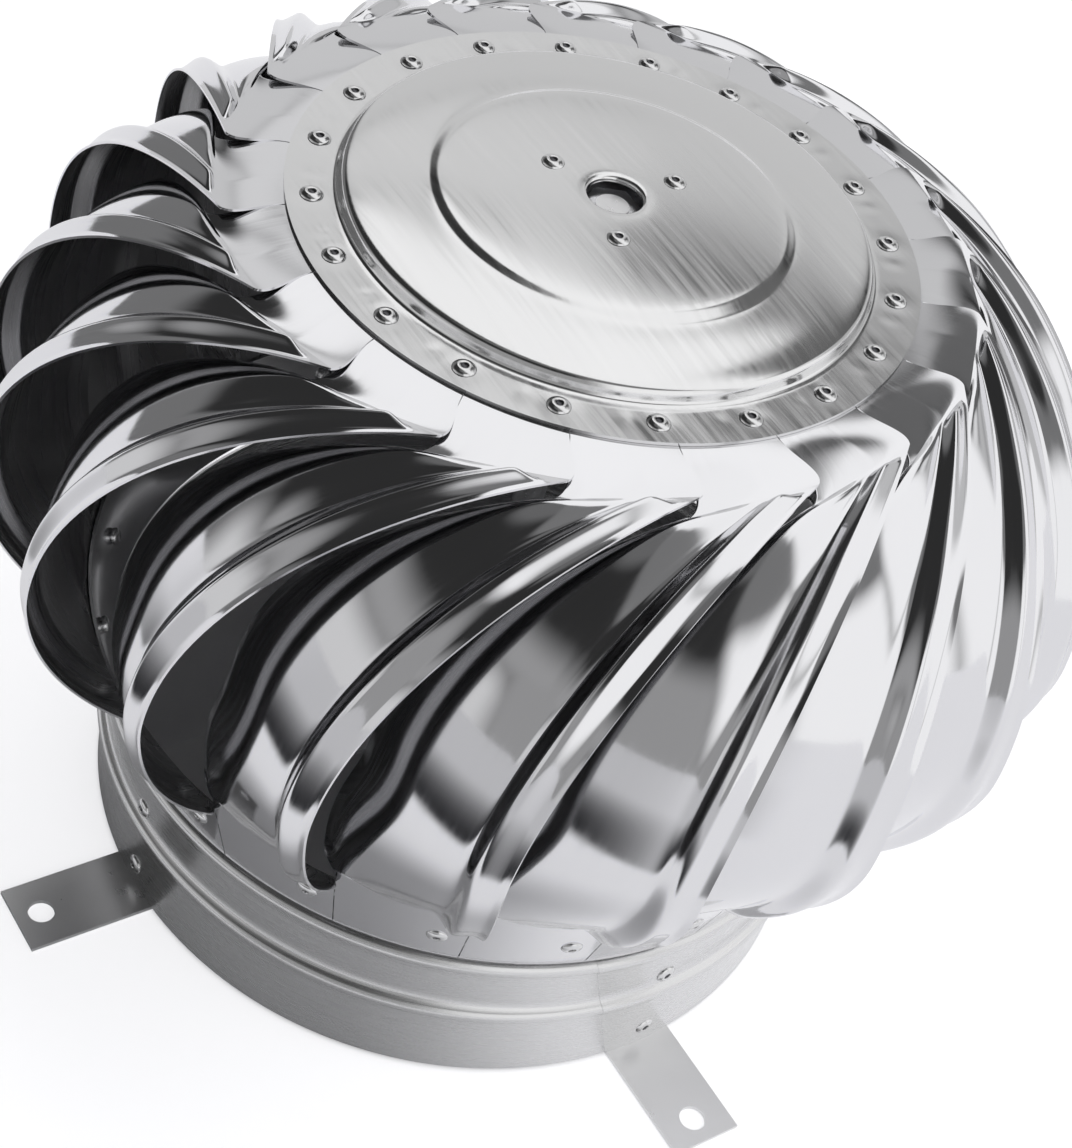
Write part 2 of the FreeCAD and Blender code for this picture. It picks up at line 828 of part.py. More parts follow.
def build():
    make_collar()
    make_strap("lower_strap", "XZ_Plane", Size.strap_bar_height + LIFT)
    make_strap("upper_strap", "YZ_Plane", Size.strap_bar_height + 2 * LIFT)
    rivet_row("strap_rivets", STRAP_GRIP, strap_rivet_places())
    make_spindle()
    make_washer("base_lower_washer", "strap_bar_height - washer_thickness")
    make_washer("base_upper_washer", "strap_bar_height + strap_thickness + strap_thickness")
    make_nut("base_lower_nut", Size.strap_bar_height - Size.washer_thickness - Size.nut_height)
    make_nut("base_upper_nut", BAR_TOP + Size.washer_thickness)
    make_bearing("lower", "lower_bearing_height")
    make_bearing("upper", "upper_bearing_height")
    turned("bearing_spacer", ring_corners(
        "spindle_radius", "shoulder_radius", "lower_bearing_height + bearing_width", "upper_bearing_height"))
    make_washer("top_washer", "upper_bearing_height + bearing_width")
    make_nut("top_nut", Size.upper_bearing_height + Size.bearing_width + Size.washer_thickness)
    hub_grip = hub_rivet_places()[0][0].z - value_of(CAP_UNDERSIDE) + Size.tube_flange_thickness
    make_bearing_tube(hub_grip)
    rivet_row("hub_rivets", hub_grip, hub_rivet_places())
    count = int(Size.blade_count)
    flange_drills = hole_tools(FLANGE_GRIP, flange_rivet_places(count))
    hub_drills = hole_tools(hub_grip, hub_rivet_places())
    make_cap(feature("cap_drills", Part.Compound([flange_drills, hub_drills])))
    rivet_row("flange_rivets", FLANGE_GRIP, flange_rivet_places(count))
    ring_drills = hole_tools(RING_GRIP, ring_rivet_places(count))
    make_lower_ring(feature("ring_drills", ring_drills))
    rivet_row("ring_rivets", RING_GRIP, ring_rivet_places(count))
    blade_drills = Part.Compound([hole_tools(FLANGE_GRIP, flange_rivet_places(1)),
                                  hole_tools(RING_GRIP, ring_rivet_places(1))])
    blade_drills.rotate(Vector(), Z_AXIS, -Size.blade_angle)
    make_blades(blade_drills)


NODES = [
    "neck_collar", "lower_strap", "upper_strap", "strap_rivets", "spindle", "base_lower_washer",
    "base_upper_washer", "base_lower_nut", "base_upper_nut", "lower_bearing_inner_ring",
    "lower_bearing_outer_ring", "lower_bearing_balls", "lower_bearing_cage", "upper_bearing_inner_ring",
    "upper_bearing_outer_ring", "upper_bearing_balls", "upper_bearing_cage", "bearing_spacer", "top_washer",
    "top_nut", "bearing_tube", "hub_rivets", "top_cap", "flange_rivets", "lower_ring", "ring_rivets",
]


def write_nodes():
    names = NODES + ["blade_%02d" % (index + 1) for index in range(int(Size.blade_count))]
    for item in doc.Objects:
        if "Invalid" in item.State or "Error" in item.State:
            raise RuntimeError("failed: " + item.Label)
    os.makedirs("parts", exist_ok=True)
    for name in names:
        shape = doc.getObjectsByLabel(name)[0].Shape
        if shape.isNull() or not shape.isValid() or not shape.Solids:
            raise RuntimeError("bad solid: " + name)
        shape.exportStep("parts/%s.step" % name)
        print("%-28s %3d %12.3f" % (name, len(shape.Solids), shape.Volume))


build()
doc.recompute()
write_nodes()
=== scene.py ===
"""Looks of the rotating chimney cowl: smooth polished sheet, blind rivets, brushed collar, studio light."""
import json
import math

import bmesh
import bpy
from mathutils import Matrix, Vector


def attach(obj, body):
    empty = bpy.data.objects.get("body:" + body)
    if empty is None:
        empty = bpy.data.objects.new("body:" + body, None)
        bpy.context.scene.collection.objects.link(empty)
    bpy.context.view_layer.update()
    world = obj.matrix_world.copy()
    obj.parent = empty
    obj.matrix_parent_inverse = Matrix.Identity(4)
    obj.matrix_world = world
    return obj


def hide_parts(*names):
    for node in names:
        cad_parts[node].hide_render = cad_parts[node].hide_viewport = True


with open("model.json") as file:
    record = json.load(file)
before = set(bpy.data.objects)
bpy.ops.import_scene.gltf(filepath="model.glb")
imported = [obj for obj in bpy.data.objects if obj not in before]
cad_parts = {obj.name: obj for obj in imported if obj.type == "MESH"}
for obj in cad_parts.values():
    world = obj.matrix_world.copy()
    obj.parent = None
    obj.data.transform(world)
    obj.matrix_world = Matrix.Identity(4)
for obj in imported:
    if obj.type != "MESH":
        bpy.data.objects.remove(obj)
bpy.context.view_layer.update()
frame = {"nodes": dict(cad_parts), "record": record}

MM = 0.001

# Sizes are in millimetres and angles in degrees. Heights are above the top of the straps' feet,
# and LIFT brings them to the part's frame, whose ground is the underside of the feet.
STRAP_THICKNESS = 1.2
LIFT = STRAP_THICKNESS

# Neck collar and feet
COLLAR_RADIUS = 100.0
COLLAR_WALL = 0.8
COLLAR_HEIGHT = 47.5
BEAD_RADIUS = 2.5
BEAD_PROUD = 2.3
BEAD_FOOT = 3.4
BEAD_CLEAR = 6.0
LOWER_BEAD_HEIGHT = 25.0
STRAP_RIVET_HEIGHTS = (6.8, 30.5)
SEAM_TOP_ANGLE = 345.6
SEAM_FOOT_ANGLE = 353.9
SEAM_WIDTH = 16.0
SEAM_PROUD = 0.25
SEAM_BITE = 0.05
FOOT_ANGLES = (0, 90, 180, 270)
COLLAR_STEPS = 192
SEAM_STEPS = 16

# Rivets; a grip is the thickness of what the rivet holds together
RIVET_HEAD_RADIUS = 2.75
RIVET_HEAD_HEIGHT = 1.0
RIVET_BORE = 0.95
RIVET_SHANK_RADIUS = 1.6
RIVET_TAIL_RADIUS = 2.3
RIVET_TAIL = 1.8
STRAP_GRIP = 2.555
HUB_GRIP = 2.8
FLANGE_GRIP = 1.45
RING_GRIP = 1.7
RIVET_STEPS = 20

# Top cap
CAP_RADIUS = 75.1
CAP_WALL = 0.8
CAP_HEIGHT = 200.0
CAP_RISE_RADIUS = 63.3
CAP_RISE = 3.8
CAP_STEP_RADIUS = 42.5
CAP_STEP_BASE = 206.0
CAP_STEP_SINK = 0.5
CAP_PLATEAU = 207.6
CAP_CROWN = 0.9
CAP_HOLE_RADIUS = 6.5
FLANGE_INSET = 1.3
CAP_STEPS = 100
DIMPLE_DEPTH = 0.12
DIMPLE_REACH = 5.5
MARK_REACH = 2.0
MARK_LAG = -6.0
FLANGE_RIVET_CIRCLE = 69.0
FLANGE_RIVET_LAG = 31.69
HUB_RIVET_CIRCLE = 16.7
HUB_RIVET_ANGLE = 88.7

# Lower ring
RING_LOW_RADIUS = 100.9
RING_LOW_HEIGHT = 49.6
RING_HIGH_RADIUS = 108.3
RING_HIGH_HEIGHT = 73.0
RING_RIVET_HEIGHT = 62.0
RING_RIVET_LAG = -0.6

# Blades; a lag is an angle round the axis, counted from the blade's own angle
BLADE_COUNT = 20
BLADE_ANGLE = 286.0
BLADE_WALL = 0.6
BLADE_GAP = 0.3
BLADE_UV_WIDTH = 50.0
BALL_RADIUS = 136.0
BALL_HEIGHT = 127.0
RIB_LEAN = 37.3
RIB_RUN = 74.6
RIB_REACH = 82.0
RIB_RISE = 71.0
RIB_BOW = 2.0
RIB_HALF_WIDTH = 4.6
RIB_PROUD = 2.45
RIB_FOOT = 1.25
RIB_MARGIN = 6.45
HEM_RADIUS = 118.7
HEM_LAG = -12.9
HEM_REACH = 75.0
HEM_TOP_RADIUS = 92.5
HEM_TOP_LAG = 16.0
HEM_TOP_HEIGHT = 195.0
HEM_BULGE = 3.0
LIP_WIDTH = 5.5
LIP_TURN = 36.0
PANEL_CROWN = 1.6
CREASE_HEM_HEIGHT = 80.5
CREASE_RIB_HEIGHT = 74.5
CREASE_RIB_LAG = 0.5
TAB_END_RADIUS = 64.6
TAB_LAG = 16.5
TAB_STOP = 3.2
TAB_CLEARANCE = 0.05
TAB_EDGE_RUN = 1.0
TAB_EDGE_DROP = 0.03

PITCH = 360.0 / BLADE_COUNT


# Geometry helpers

def polar(radius, angle, height):
    turn = math.radians(angle)
    return Vector((radius * math.cos(turn), radius * math.sin(turn), height))


def smooth(value):
    held = min(1.0, max(0.0, value))
    return held * held * (3 - 2 * held)


def piece_from(name, bm, body, material):
    """Object at the origin from a bmesh whose coordinates are millimetres in the part's frame."""
    bmesh.ops.scale(bm, vec=(MM, MM, MM), verts=bm.verts)
    mesh = bpy.data.meshes.new(name)
    bm.to_mesh(mesh)
    bm.free()
    for polygon in mesh.polygons:
        polygon.use_smooth = True
    piece = bpy.data.objects.new(name, mesh)
    bpy.context.scene.collection.objects.link(piece)
    mesh.materials.append(material)
    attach(piece, body)
    return piece


def refine(piece):
    """Rounds the piece's surface between its rows."""
    finer = piece.modifiers.new("subdivide", "SUBSURF")
    finer.levels = 2
    finer.render_levels = 2
    return finer


def thicken(piece, thickness, offset=-1.0):
    """Gives a surface the thickness of its sheet, inwards unless the offset says otherwise."""
    wall = piece.modifiers.new("wall", "SOLIDIFY")
    wall.thickness = thickness * MM
    wall.offset = offset
    return wall


def settle(piece, sharp=38):
    """Applies the piece's modifiers and marks its crisp edges."""
    bpy.context.view_layer.update()
    depsgraph = bpy.context.evaluated_depsgraph_get()
    mesh = bpy.data.meshes.new_from_object(piece.evaluated_get(depsgraph))
    piece.modifiers.clear()
    piece.data = mesh
    mesh.set_sharp_from_angle(angle=math.radians(sharp))
    return piece


def chain(bm, points):
    """Open line of edges through the points."""
    verts = [bm.verts.new(point) for point in points]
    return verts, [bm.edges.new(pair) for pair in zip(verts, verts[1:])]


def spun(outline, steps, angle=360.0):
    """Surface of revolution of an outline of (radius, height) corners."""
    bm = bmesh.new()
    verts, edges = chain(bm, [polar(radius, 0.0, height) for radius, height in outline])
    bmesh.ops.spin(
        bm, geom=verts + edges, cent=(0, 0, 0), axis=(0, 0, 1), angle=math.radians(angle),
        steps=steps, use_merge=angle == 360.0)
    bmesh.ops.remove_doubles(bm, verts=bm.verts, dist=0.0005)
    bmesh.ops.recalc_face_normals(bm, faces=bm.faces)
    return bm


def arc(centre_radius, centre_height, radius, first, last, count):
    """Points of a round stretch, angles in degrees from the outward direction."""
    points = []
    for index in range(count + 1):
        turn = math.radians(first + (last - first) * index / count)
        points.append((centre_radius + radius * math.cos(turn), centre_height + radius * math.sin(turn)))
    return points


# Materials

def shader(name):
    material = bpy.data.materials.new(name)
    material.use_nodes = True
    nodes = material.node_tree.nodes
    return material, nodes, material.node_tree.links, nodes["Principled BSDF"]


def add(nodes, kind, **inputs):
    node = nodes.new(kind)
    for key, value in inputs.items():
        node.inputs[key.replace("_", " ")].default_value = value
    return node


def two_tone(nodes, links, share, first, second):
    """Mix of two colours by a share; the second may come from another node."""
    mix = nodes.new("ShaderNodeMix")
    mix.data_type = "RGBA"
    links.new(share, mix.inputs["Factor"])
    mix.inputs["A"].default_value = (*first, 1)
    if isinstance(second, tuple):
        mix.inputs["B"].default_value = (*second, 1)
    else:
        links.new(second, mix.inputs["B"])
    return mix.outputs["Result"]


def sheet_metal(name, colour, shade, roughness, spread, grain_scale, grain_depth, wave_depth, use_uv=False):
    """Rolled stainless: slight changes of tone and gloss, a drawn grain and a faint waviness."""
    material, nodes, links, metal = shader(name)
    metal.inputs["Metallic"].default_value = 1.0
    place = nodes.new("ShaderNodeTexCoord")
    source = place.outputs["UV" if use_uv else "Object"]
    broad = add(nodes, "ShaderNodeTexNoise", Scale=14.0, Detail=3.0, Roughness=0.55)
    links.new(place.outputs["Object"], broad.inputs["Vector"])
    links.new(two_tone(nodes, links, broad.outputs["Fac"], shade, colour), metal.inputs["Base Color"])
    stretch = nodes.new("ShaderNodeMapping")
    stretch.inputs["Scale"].default_value = grain_scale
    links.new(source, stretch.inputs["Vector"])
    grain = add(nodes, "ShaderNodeTexNoise", Scale=1.0, Detail=4.0, Roughness=0.6)
    links.new(stretch.outputs["Vector"], grain.inputs["Vector"])
    gloss = add(nodes, "ShaderNodeMapRange", To_Min=roughness - spread, To_Max=roughness + spread)
    gloss.inputs["From Min"].default_value = 0.3
    gloss.inputs["From Max"].default_value = 0.7
    links.new(grain.outputs["Fac"], gloss.inputs["Value"])
    links.new(gloss.outputs["Result"], metal.inputs["Roughness"])
    lines = add(nodes, "ShaderNodeBump", Strength=1.0, Distance=grain_depth)
    links.new(grain.outputs["Fac"], lines.inputs["Height"])
    swell = add(nodes, "ShaderNodeTexNoise", Scale=22.0, Detail=1.0)
    links.new(place.outputs["Object"], swell.inputs["Vector"])
    wave = add(nodes, "ShaderNodeBump", Strength=1.0, Distance=wave_depth)
    links.new(swell.outputs["Fac"], wave.inputs["Height"])
    links.new(lines.outputs["Normal"], wave.inputs["Normal"])
    links.new(wave.outputs["Normal"], metal.inputs["Normal"])
    return material


def bright_metal(name, colour, shade, roughness):
    """Turned, plated or riveted metal with a fine mottle."""
    material, nodes, links, metal = shader(name)
    metal.inputs["Metallic"].default_value = 1.0
    place = nodes.new("ShaderNodeTexCoord")
    mottle = add(nodes, "ShaderNodeTexNoise", Scale=420.0, Detail=3.0)
    links.new(place.outputs["Object"], mottle.inputs["Vector"])
    links.new(two_tone(nodes, links, mottle.outputs["Fac"], shade, colour), metal.inputs["Base Color"])
    gloss = add(nodes, "ShaderNodeMapRange", To_Min=roughness * 0.7, To_Max=roughness * 1.3)
    links.new(mottle.outputs["Fac"], gloss.inputs["Value"])
    links.new(gloss.outputs["Result"], metal.inputs["Roughness"])
    bump = add(nodes, "ShaderNodeBump", Strength=1.0, Distance=0.00003)
    links.new(mottle.outputs["Fac"], bump.inputs["Height"])
    links.new(bump.outputs["Normal"], metal.inputs["Normal"])
    return material


BLADE_SHEET = sheet_metal(
    "blade_sheet", colour=(0.81, 0.81, 0.83), shade=(0.77, 0.77, 0.79), roughness=0.10, spread=0.03,
    grain_scale=(900, 9, 1), grain_depth=0.000003, wave_depth=0.00004, use_uv=True)
# Inside of the blades: the same steel as the outside, painted far darker as the shade of the hollow within
# the cowl
SHADED_BLADE_INSIDE = sheet_metal(
    "blade_inside", colour=(0.32, 0.32, 0.325), shade=(0.26, 0.26, 0.265), roughness=0.28, spread=0.04,
    grain_scale=(700, 7, 1), grain_depth=0.000003, wave_depth=0.00005, use_uv=True)
CAP_SHEET = sheet_metal(
    "cap_sheet", colour=(0.80, 0.80, 0.805), shade=(0.77, 0.77, 0.775), roughness=0.15, spread=0.05,
    grain_scale=(22, 800, 22), grain_depth=0.000006, wave_depth=0.00007)
COLLAR_SHEET = sheet_metal(
    "collar_sheet", colour=(0.76, 0.76, 0.765), shade=(0.70, 0.70, 0.705), roughness=0.27, spread=0.05,
    grain_scale=(40, 40, 2400), grain_depth=0.00001, wave_depth=0.00005)
STRAP_SHEET = sheet_metal(
    "strap_sheet", colour=(0.86, 0.86, 0.865), shade=(0.82, 0.82, 0.825), roughness=0.30, spread=0.03,
    grain_scale=(120, 120, 120), grain_depth=0.000001, wave_depth=0.00002)
RING_SHEET = sheet_metal(
    "ring_sheet", colour=(0.76, 0.76, 0.77), shade=(0.72, 0.72, 0.73), roughness=0.16, spread=0.04,
    grain_scale=(30, 30, 1200), grain_depth=0.00001, wave_depth=0.00004)
RIVET_STEEL = bright_metal("rivet_steel", (0.80, 0.80, 0.80), (0.68, 0.68, 0.69), 0.16)
# The mandrel ends are real, but their near-black tone is painted shade of the rivets' hollow heads
SHADED_MANDREL_STEEL = bright_metal("mandrel_steel_shaded", (0.16, 0.16, 0.17), (0.08, 0.08, 0.09), 0.35)
TURNED_STEEL = bright_metal("turned_steel", (0.90, 0.90, 0.91), (0.84, 0.84, 0.85), 0.3)
PLATED_STEEL = bright_metal("plated_steel", (0.86, 0.86, 0.88), (0.80, 0.80, 0.83), 0.22)
BEARING_STEEL = bright_metal("bearing_steel", (0.78, 0.78, 0.80), (0.72, 0.72, 0.74), 0.08)
CAGE_STEEL = bright_metal("cage_steel", (0.58, 0.57, 0.54), (0.48, 0.47, 0.44), 0.3)

# Finish of a carried-over solid by its node, or else by its material slot
NODE_FINISHES = {
    "lower_strap": STRAP_SHEET, "upper_strap": STRAP_SHEET, "spindle": TURNED_STEEL,
    "bearing_spacer": TURNED_STEEL, "bearing_tube": TURNED_STEEL, "lower_ring": RING_SHEET,
}
SLOT_FINISHES = {
    "plated_steel": PLATED_STEEL, "bearing_steel": BEARING_STEEL, "cage_steel": CAGE_STEEL,
    "rivet_steel": RIVET_STEEL, "blade_sheet": BLADE_SHEET, "cap_sheet": CAP_SHEET,
    "collar_sheet": COLLAR_SHEET,
}


# Blades: bent strips with a stamped rib, an inner lip and a tab at each end

def ring_slope():
    """How far the lower ring's cone widens with its height."""
    return (RING_HIGH_RADIUS - RING_LOW_RADIUS) / (RING_HIGH_HEIGHT - RING_LOW_HEIGHT)


def tab_radius(height):
    """Radius of the blade tabs where they lie on the lower ring's cone."""
    return RING_LOW_RADIUS + ring_slope() * (height - RING_LOW_HEIGHT) + BLADE_WALL


def tab_start():
    """Lag at which a lower tab begins, just past the end of its neighbour's."""
    return TAB_STOP - PITCH + math.degrees(BLADE_GAP / RING_LOW_RADIUS)


def rib_point(along):
    """Base of the rib: -1 at its top end, 0 at the widest place, 1 at the lower crease."""
    lag = math.radians(CREASE_RIB_LAG)
    widest = Vector((BALL_RADIUS * math.cos(lag), BALL_RADIUS * math.sin(lag), BALL_HEIGHT))
    if along < 0:
        lean = math.radians(RIB_LEAN)
        turn = -along * math.acos(1 - RIB_RUN / RIB_REACH)
        run = RIB_REACH * (1 - math.cos(turn))
        bow = RIB_BOW * math.sin(math.pi * -along)
        return widest + Vector((-run * math.cos(lean), run * math.sin(lean) + bow, RIB_RISE * math.sin(turn)))
    radius = BALL_RADIUS + (tab_radius(CREASE_RIB_HEIGHT) - BALL_RADIUS) * along ** 2
    height = BALL_HEIGHT + (CREASE_RIB_HEIGHT - BALL_HEIGHT) * along
    return Vector((radius * math.cos(lag), radius * math.sin(lag), height))


def hem_point(along):
    """Bend between the panel and its inner lip."""
    widest = polar(HEM_RADIUS, HEM_LAG, BALL_HEIGHT)
    top = polar(HEM_TOP_RADIUS, HEM_TOP_LAG, HEM_TOP_HEIGHT)
    if along < 0:
        flat = Vector((top.x - widest.x, top.y - widest.y, 0))
        last = math.acos(1 - flat.length / HEM_REACH)
        rise = (top.z - widest.z) / math.sin(last)
        turn = -along * last
        run = flat.normalized() * (HEM_REACH * (1 - math.cos(turn)))
        return widest + run + Vector((0, 0, rise * math.sin(turn)))
    low = polar(tab_radius(CREASE_HEM_HEIGHT), tab_start(), CREASE_HEM_HEIGHT)
    flat = widest.lerp(low, along ** 2)
    bulge = HEM_BULGE * math.sin(math.pi * along)
    height = widest.z + (low.z - widest.z) * along
    return Vector((flat.x, flat.y, height)) + polar(bulge, HEM_LAG - 90, 0)


# Shares of the lip's and the panel's width at which the strip has points
LIP_STATIONS = (1.0, 0.5, 0.12)
PANEL_STATIONS = (0.03, 0.12, 0.3, 0.5, 0.7, 0.88)
# Places across the rib in half-widths with the share of its height: two rounded slopes and a narrow crest
RIB_PROFILE = (
    (-1.4, 0.0), (-1.12, 0.0), (-0.95, 0.06), (-0.6, 0.44), (-0.26, 0.84), (-0.08, 0.99), (0.07, 1.0),
    (0.24, 0.84), (0.58, 0.44), (0.9, 0.1), (1.06, 0.01))
# Shares of the strip's length, for its upper and its lower half, over which lip, crown and rib run out
LIP_RUN_OUT = (0.09, 0.05)
RIB_RUN_OUT = (0.016, 0.07)
RIB_STOP = 0.022
# Places along the strip: -1 is its top, 0 its widest place and 1 its lower crease
STRIP_STATIONS = (
    -0.997, -0.991, -0.985, -0.978, -0.97, -0.962, -0.95, -0.92, -0.87, -0.8, -0.7, -0.6, -0.48, -0.36, -0.24,
    -0.12, 0.0, 0.12, 0.24, 0.36, 0.48, 0.6, 0.72, 0.82, 0.89, 0.93, 0.96, 0.985)


def strip_row(along):
    """Points across the bent strip at one station."""
    rib = rib_point(along)
    hem = hem_point(along)
    width = (hem - rib).length
    across = (hem - rib).normalized()
    ahead = rib_point(min(1.0, along + 0.01)) - rib_point(max(-1.0, along - 0.01))
    outward = across.cross(ahead).normalized()
    half = 0 if along < 0 else 1
    end = smooth((1 - abs(along)) / LIP_RUN_OUT[half])
    closed = smooth((1 - abs(along) - RIB_STOP) / RIB_RUN_OUT[half])
    turn = math.radians(LIP_TURN) * end
    sideways = across * math.cos(turn) - outward * math.sin(turn)
    row = [hem + sideways * (LIP_WIDTH * end * share) for share in LIP_STATIONS]
    panel = width - RIB_HALF_WIDTH * RIB_FOOT
    row += [hem - across * (panel * share) + outward * (PANEL_CROWN * end * 4 * share * (1 - share))
            for share in PANEL_STATIONS]
    row += [rib - across * (RIB_HALF_WIDTH * place) + outward * (RIB_PROUD * share * closed)
            for place, share in RIB_PROFILE]
    row.append(rib - across * RIB_MARGIN)
    return row


def arc_row(first, last, pattern):
    """Points along an arc round the axis, spaced like the points of another row."""
    marks = [0.0]
    for before, after in zip(pattern, pattern[1:]):
        marks.append(marks[-1] + (after - before).length)
    start = math.degrees(math.atan2(first.y, first.x))
    stop = math.degrees(math.atan2(last.y, last.x))
    inner = math.hypot(first.x, first.y)
    outer = math.hypot(last.x, last.y)
    row = []
    for mark in marks:
        share = mark / marks[-1]
        row.append(polar(inner + (outer - inner) * share, start + (stop - start) * share,
                         first.z + (last.z - first.z) * share))
    return row


def flange_row(radius, height):
    """Points across the flat upper tab at one radius."""
    gap = math.degrees(BLADE_GAP / CAP_RADIUS) / 2
    return arc_row(polar(radius, TAB_LAG + gap, height), polar(radius, TAB_LAG + PITCH - gap, height),
                   strip_row(-1.0))


def ring_row(height_hem, height_rib):
    """Points across the lower tab, on the ring's cone."""
    return arc_row(polar(tab_radius(height_hem), tab_start(), height_hem),
                   polar(tab_radius(height_rib), TAB_STOP, height_rib), strip_row(1.0))


def bridge_row(before, first, last, after, share):
    """Row between two others that leaves and meets them without a kink."""
    row = []
    for behind, near, far, beyond in zip(before, first, last, after):
        span = (far - near).length
        leave = (near - behind).normalized() * span
        meet = (beyond - far).normalized() * span
        row.append(
            near * (2 * share ** 3 - 3 * share ** 2 + 1) + leave * (share ** 3 - 2 * share ** 2 + share)
            + far * (3 * share ** 2 - 2 * share ** 3) + meet * (share ** 3 - share ** 2))
    return row


# Shares of the way at which the tabs and the bends beside them have rows
UPPER_TAB_SHARES = (0.0, 0.4, 0.75, 1.0)
UPPER_BEND_SHARES = (0.25, 0.5, 0.75, 0.95)
UPPER_BEND_AIM = -0.985
LOWER_BEND_SHARES = (0.6, 0.9)
LOWER_TAB_SHARES = (0.015, 0.08, 0.5, 1.0)


def blade_rows():
    """Control rows of one blade, from under the cap's flange to the collar."""
    under = CAP_HEIGHT - CAP_WALL - BLADE_WALL / 2 - TAB_CLEARANCE
    run = CAP_RADIUS - TAB_END_RADIUS
    rows = [flange_row(TAB_END_RADIUS + run * share, under) for share in UPPER_TAB_SHARES]
    edge = flange_row(CAP_RADIUS + TAB_EDGE_RUN, under - TAB_EDGE_DROP)
    top = strip_row(-1.0)
    inner = rows[-1]
    rows.append(edge)
    rows += [bridge_row(inner, edge, top, strip_row(UPPER_BEND_AIM), share) for share in UPPER_BEND_SHARES]
    rows.append(top)
    rows += [strip_row(along) for along in STRIP_STATIONS]
    crease = ring_row(CREASE_HEM_HEIGHT, CREASE_RIB_HEIGHT)
    above = rows[-1]
    rows += [[near.lerp(far, share) for near, far in zip(above, crease)] for share in LOWER_BEND_SHARES]
    rows.append(crease)
    drop = CREASE_RIB_HEIGHT - RING_LOW_HEIGHT
    for share in LOWER_TAB_SHARES:
        height = CREASE_RIB_HEIGHT - drop * share
        rows.append(ring_row(height + (CREASE_HEM_HEIGHT - CREASE_RIB_HEIGHT) * (1 - share), height))
    return rows


def blade_surface():
    """Grid laid over the control rows, with the sheet's own lengths as its UV map."""
    rows = blade_rows()
    last_row = len(rows) - 1
    last_column = len(rows[0]) - 1
    bm = bmesh.new()
    bmesh.ops.create_grid(bm, x_segments=last_column, y_segments=last_row, size=1.0)
    lengths = [0.0]
    middle = last_column // 2
    for before, after in zip(rows, rows[1:]):
        lengths.append(lengths[-1] + (after[middle] - before[middle]).length)
    uv_layer = bm.loops.layers.uv.new("sheet")
    place = {}
    for vert in bm.verts:
        column = round((vert.co.x + 1) / 2 * last_column)
        row = round((vert.co.y + 1) / 2 * last_row)
        place[vert.index] = (row, column)
    for vert in bm.verts:
        row, column = place[vert.index]
        vert.co = rows[row][column] + Vector((0, 0, LIFT))
    for face in bm.faces:
        for loop in face.loops:
            row, column = place[loop.vert.index]
            loop[uv_layer].uv = (column / last_column * BLADE_UV_WIDTH * MM, lengths[row] * MM)
    bmesh.ops.recalc_face_normals(bm, faces=bm.faces)
    probe = min(bm.faces, key=lambda face: abs(face.calc_center_median().z - BALL_HEIGHT))
    outward = probe.calc_center_median()
    if probe.normal.dot(Vector((outward.x, outward.y, 0))) < 0:
        bmesh.ops.reverse_faces(bm, faces=bm.faces)
    return bm


def make_blades():
    """Twenty turned copies of one blade, outside polished and inside rougher, with the inside painted dark as
    shade.
    """
    first = piece_from("polished_blade_01", blade_surface(), "rotor", BLADE_SHEET)
    first.data.materials.append(SHADED_BLADE_INSIDE)
    refine(first).boundary_smooth = "PRESERVE_CORNERS"
    # The inner faces get the second material, whose dark colour is painted shade
    thicken(first, BLADE_WALL, 0.0).material_offset = 1
    settle(first)
    template = first.data.copy()
    first.data.transform(Matrix.Rotation(math.radians(BLADE_ANGLE), 4, "Z"))
    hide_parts("blade_01")
    for index in range(1, BLADE_COUNT):
        mesh = template.copy()
        mesh.transform(Matrix.Rotation(math.radians(BLADE_ANGLE + PITCH * index), 4, "Z"))
        name = "polished_blade_%02d" % (index + 1)
        blade = bpy.data.objects.new(name, mesh)
        bpy.context.scene.collection.objects.link(blade)
        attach(blade, "rotor")
        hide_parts("blade_%02d" % (index + 1))


# Top cap

def crown(radius):
    """Height of the slightly crowned middle of the cap."""
    return CAP_PLATEAU + LIFT - CAP_CROWN * (radius / CAP_STEP_RADIUS) ** 2


def cap_outline():
    """Upper side from the rim of the flange to the rolled edge of the hole."""
    top = CAP_HEIGHT + LIFT
    edge = top + CAP_RISE
    base = CAP_STEP_BASE + LIFT - CAP_STEP_SINK
    return [
        (CAP_RADIUS, top), (CAP_RADIUS - 0.4, top), (71.8, top), (70.1, top), (68.4, top),
        (CAP_RISE_RADIUS + 2.4, top), (CAP_RISE_RADIUS + 1.4, top), (CAP_RISE_RADIUS + 0.3, top + 0.15),
        (CAP_RISE_RADIUS - 0.1, top + 0.8), (CAP_RISE_RADIUS - 0.6, edge - 1.1),
        (CAP_RISE_RADIUS - 1.2, edge - 0.35), (CAP_RISE_RADIUS - 2.4, edge), (57.0, edge + 0.7),
        (50.0, base - 0.25),
        (CAP_STEP_RADIUS + 1.6, base), (CAP_STEP_RADIUS + 0.4, base + 0.2),
        (CAP_STEP_RADIUS - 1.4, crown(CAP_STEP_RADIUS - 1.4) - 0.2),
        (CAP_STEP_RADIUS - 2.8, crown(CAP_STEP_RADIUS - 2.8) - 0.03),
        (31.0, crown(31.0)), (17.0, crown(17.0)), (CAP_HOLE_RADIUS + 1.6, crown(0.0)),
        (CAP_HOLE_RADIUS + 0.5, crown(0.0) - 0.2), (CAP_HOLE_RADIUS, crown(0.0) - 0.9),
        (CAP_HOLE_RADIUS, crown(0.0) - 1.6),
    ]


def rim_seats(lag=0.0):
    """Places on the flange at its rivets, or as many degrees round from them as the lag says."""
    turns = [BLADE_ANGLE + FLANGE_RIVET_LAG + PITCH * index + lag for index in range(BLADE_COUNT)]
    return [polar(FLANGE_RIVET_CIRCLE, turn, CAP_HEIGHT + LIFT) for turn in turns]


